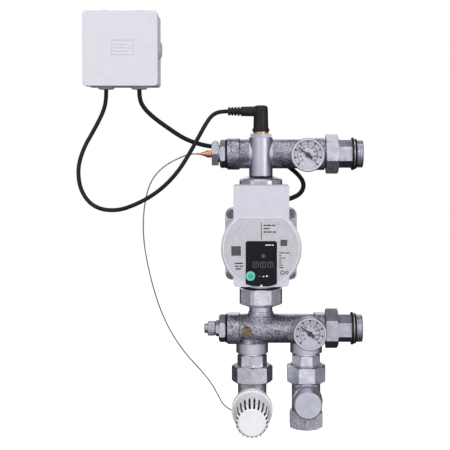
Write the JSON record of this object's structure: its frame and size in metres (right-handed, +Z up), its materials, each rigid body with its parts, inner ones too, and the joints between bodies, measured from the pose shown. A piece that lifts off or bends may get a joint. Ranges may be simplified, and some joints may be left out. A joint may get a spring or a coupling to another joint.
{
  "type": "underfloor heating mixing manifold",
  "caption": "Pump mixing set for an underfloor heating manifold, with thermostatic valve, remote sensor, dial thermometers and junction box.",
  "frame": {"origin": "on the flow bar's axis, at the first thread of the flow outlet nipple", "axes": "+X out of the flow outlet towards the manifold, -Y to the room, +Z up"},
  "size_m": [0.3448, 0.155, 0.5031],
  "materials": {
    "nickel_brass": "satin nickel plate over cast and turned brass",
    "raw_brass": "turned",
    "copper": "turned copper",
    "black_rubber": "matt",
    "fibre_gasket": "matt fibre",
    "black_plastic": "moulded",
    "cast_pump": "coated casting",
    "cast_aluminium": "die cast",
    "screw_steel": "zinc plated",
    "stator_steel": "laminated",
    "ceramic": "ground",
    "grey_plastic": "fine moulded texture",
    "label_grey": "printed film",
    "panel_black": "gloss film",
    "green_plastic": "moulded",
    "board_green": "solder mask",
    "white_plastic": "moulded",
    "bezel_steel": "bright",
    "pointer_black": "printed",
    "dial_white": "printed",
    "lens_glass": "clear",
    "box_grey": "moulded",
    "soft_grey": "soft moulded",
    "cable_black": "PVC sheath",
    "capillary_steel": "drawn"
  },
  "bodies": {
    "manifold": {"box_base": "box_grey", "box_cable_entries": "soft_grey", "capillary_tube": "capillary_steel", "circuit_board": "board_green", "control_module": "grey_plastic", "control_panel": "panel_black", "drain_body": "nickel_brass", "elbow_plug": "black_plastic", "face_plate": "label_grey", "flow_bar": "nickel_brass", "flow_nipple": "nickel_brass", "flow_thermometer_case": "bezel_steel", "gland_nut": "nickel_brass", "head_nut": "nickel_brass", "head_sensor": "black_plastic", "immersion_bulb": "copper", "limiter_sensor": "nickel_brass", "lockshield_insert": "raw_brass", "lockshield_tail": "nickel_brass", "lockshield_valve_body": "nickel_brass", "motor_housing": "cast_aluminium", "motor_screws": "screw_steel", "pump_bearings": "ceramic", "pump_cable": "cable_black", "pump_cable_gland": "black_plastic", "pump_housing": "cast_pump", "return_bar": "nickel_brass", "return_nipple": "nickel_brass", "return_thermometer_case": "bezel_steel", "rotor_can": "screw_steel", "scale_ring": "white_plastic", "sealing_rings": "black_rubber", "sensor_cable": "cable_black", "sensor_end_plug": "nickel_brass", "stator": "stator_steel", "terminal_block": "white_plastic", "thermometer_dials": "dial_white", "thermometer_lenses": "lens_glass", "thermostat_tail": "nickel_brass", "thermostat_valve_body": "nickel_brass", "union_gaskets": "fibre_gasket", "valve_insert": "raw_brass", "valve_spring": "screw_steel"},
    "flow_union": {"flow_union_nut": "nickel_brass"},
    "return_union": {"return_union_nut": "nickel_brass"},
    "pump_upper_union": {"pump_upper_nut": "nickel_brass"},
    "pump_lower_union": {"pump_lower_nut": "nickel_brass"},
    "thermostat_union": {"thermostat_union_nut": "nickel_brass"},
    "lockshield_union": {"lockshield_union_nut": "nickel_brass"},
    "wheel": {"handwheel": "white_plastic"},
    "valve_pin": {"valve_spindle": "screw_steel"},
    "cap": {"lockshield_cap": "nickel_brass"},
    "regulating_spindle": {"lockshield_spindle": "raw_brass"},
    "pump_rotor": {"rotor": "stator_steel", "impeller": "black_plastic"},
    "button": {"green_button": "green_plastic"},
    "flow_pointer": {"flow_thermometer_pointer": "pointer_black"},
    "return_pointer": {"return_thermometer_pointer": "pointer_black"},
    "drain_screw": {"drain_knob": "nickel_brass"},
    "lid": {"box_lid": "box_grey"}
  },
  "joints": [
    {"name": "flow_union_turn", "type": "hinge", "parent": "manifold", "child": "flow_union", "pos_m": [-0.028, 0, 0], "axis": [1, 0, 0], "continuous": true},
    {"name": "return_union_turn", "type": "hinge", "parent": "manifold", "child": "return_union", "pos_m": [-0.028, 0, -0.21], "axis": [1, 0, 0], "continuous": true},
    {"name": "pump_upper_union_turn", "type": "hinge", "parent": "manifold", "child": "pump_upper_union", "pos_m": [-0.1148, 0, -0.038], "axis": [0, 0, 1], "continuous": true},
    {"name": "pump_lower_union_turn", "type": "hinge", "parent": "manifold", "child": "pump_lower_union", "pos_m": [-0.1148, 0, -0.172], "axis": [0, 0, 1], "continuous": true},
    {"name": "thermostat_union_turn", "type": "hinge", "parent": "manifold", "child": "thermostat_union", "pos_m": [-0.1252, 0, -0.264], "axis": [0, 0, 1], "continuous": true},
    {"name": "lockshield_union_turn", "type": "hinge", "parent": "manifold", "child": "lockshield_union", "pos_m": [-0.0602, 0, -0.264], "axis": [0, 0, 1], "continuous": true},
    {"name": "handwheel_turn", "type": "hinge", "parent": "manifold", "child": "wheel", "pos_m": [-0.1252, -0.055, -0.298], "axis": [0, 1, 0], "range_deg": [-140, 140]},
    {"name": "valve_pin_slide", "type": "slide", "parent": "manifold", "child": "valve_pin", "axis": [0, 1, 0], "range_m": [-0.0013, 0.0013]},
    {"name": "cap_turn", "type": "hinge", "parent": "manifold", "child": "cap", "pos_m": [-0.0602, -0.03, -0.291], "axis": [0, 1, 0], "continuous": true},
    {"name": "spindle_turn", "type": "hinge", "parent": "manifold", "child": "regulating_spindle", "pos_m": [-0.0602, -0.02, -0.291], "axis": [0, 1, 0], "range_deg": [0, 720]},
    {"name": "rotor_spin", "type": "hinge", "parent": "manifold", "child": "pump_rotor", "pos_m": [-0.1148, -0.04, -0.105], "axis": [0, 1, 0], "continuous": true},
    {"name": "button_press", "type": "slide", "parent": "manifold", "child": "button", "axis": [0, 1, 0], "range_m": [0, 0.0008], "stiffness_N_per_m": 400},
    {"name": "flow_pointer_turn", "type": "hinge", "parent": "manifold", "child": "flow_pointer", "pos_m": [-0.0604, -0.0385, -0.001], "axis": [0, 1, 0], "range_deg": [-83, 187]},
    {"name": "return_pointer_turn", "type": "hinge", "parent": "manifold", "child": "return_pointer", "pos_m": [-0.0576, -0.0385, -0.21], "axis": [0, 1, 0], "range_deg": [-83, 187]},
    {"name": "drain_turn", "type": "hinge", "parent": "manifold", "child": "drain_screw", "pos_m": [-0.175, 0, -0.21], "axis": [1, 0, 0], "range_deg": [0, 720]},
    {"name": "lid_pull", "type": "slide", "parent": "manifold", "child": "lid", "axis": [0, -1, 0], "range_m": [0, 0.06]}
  ],
  "couplings": [
    {"joint": "valve_pin_slide", "follows": "handwheel_turn", "m_per_rad": 0.0005315}
  ]
}
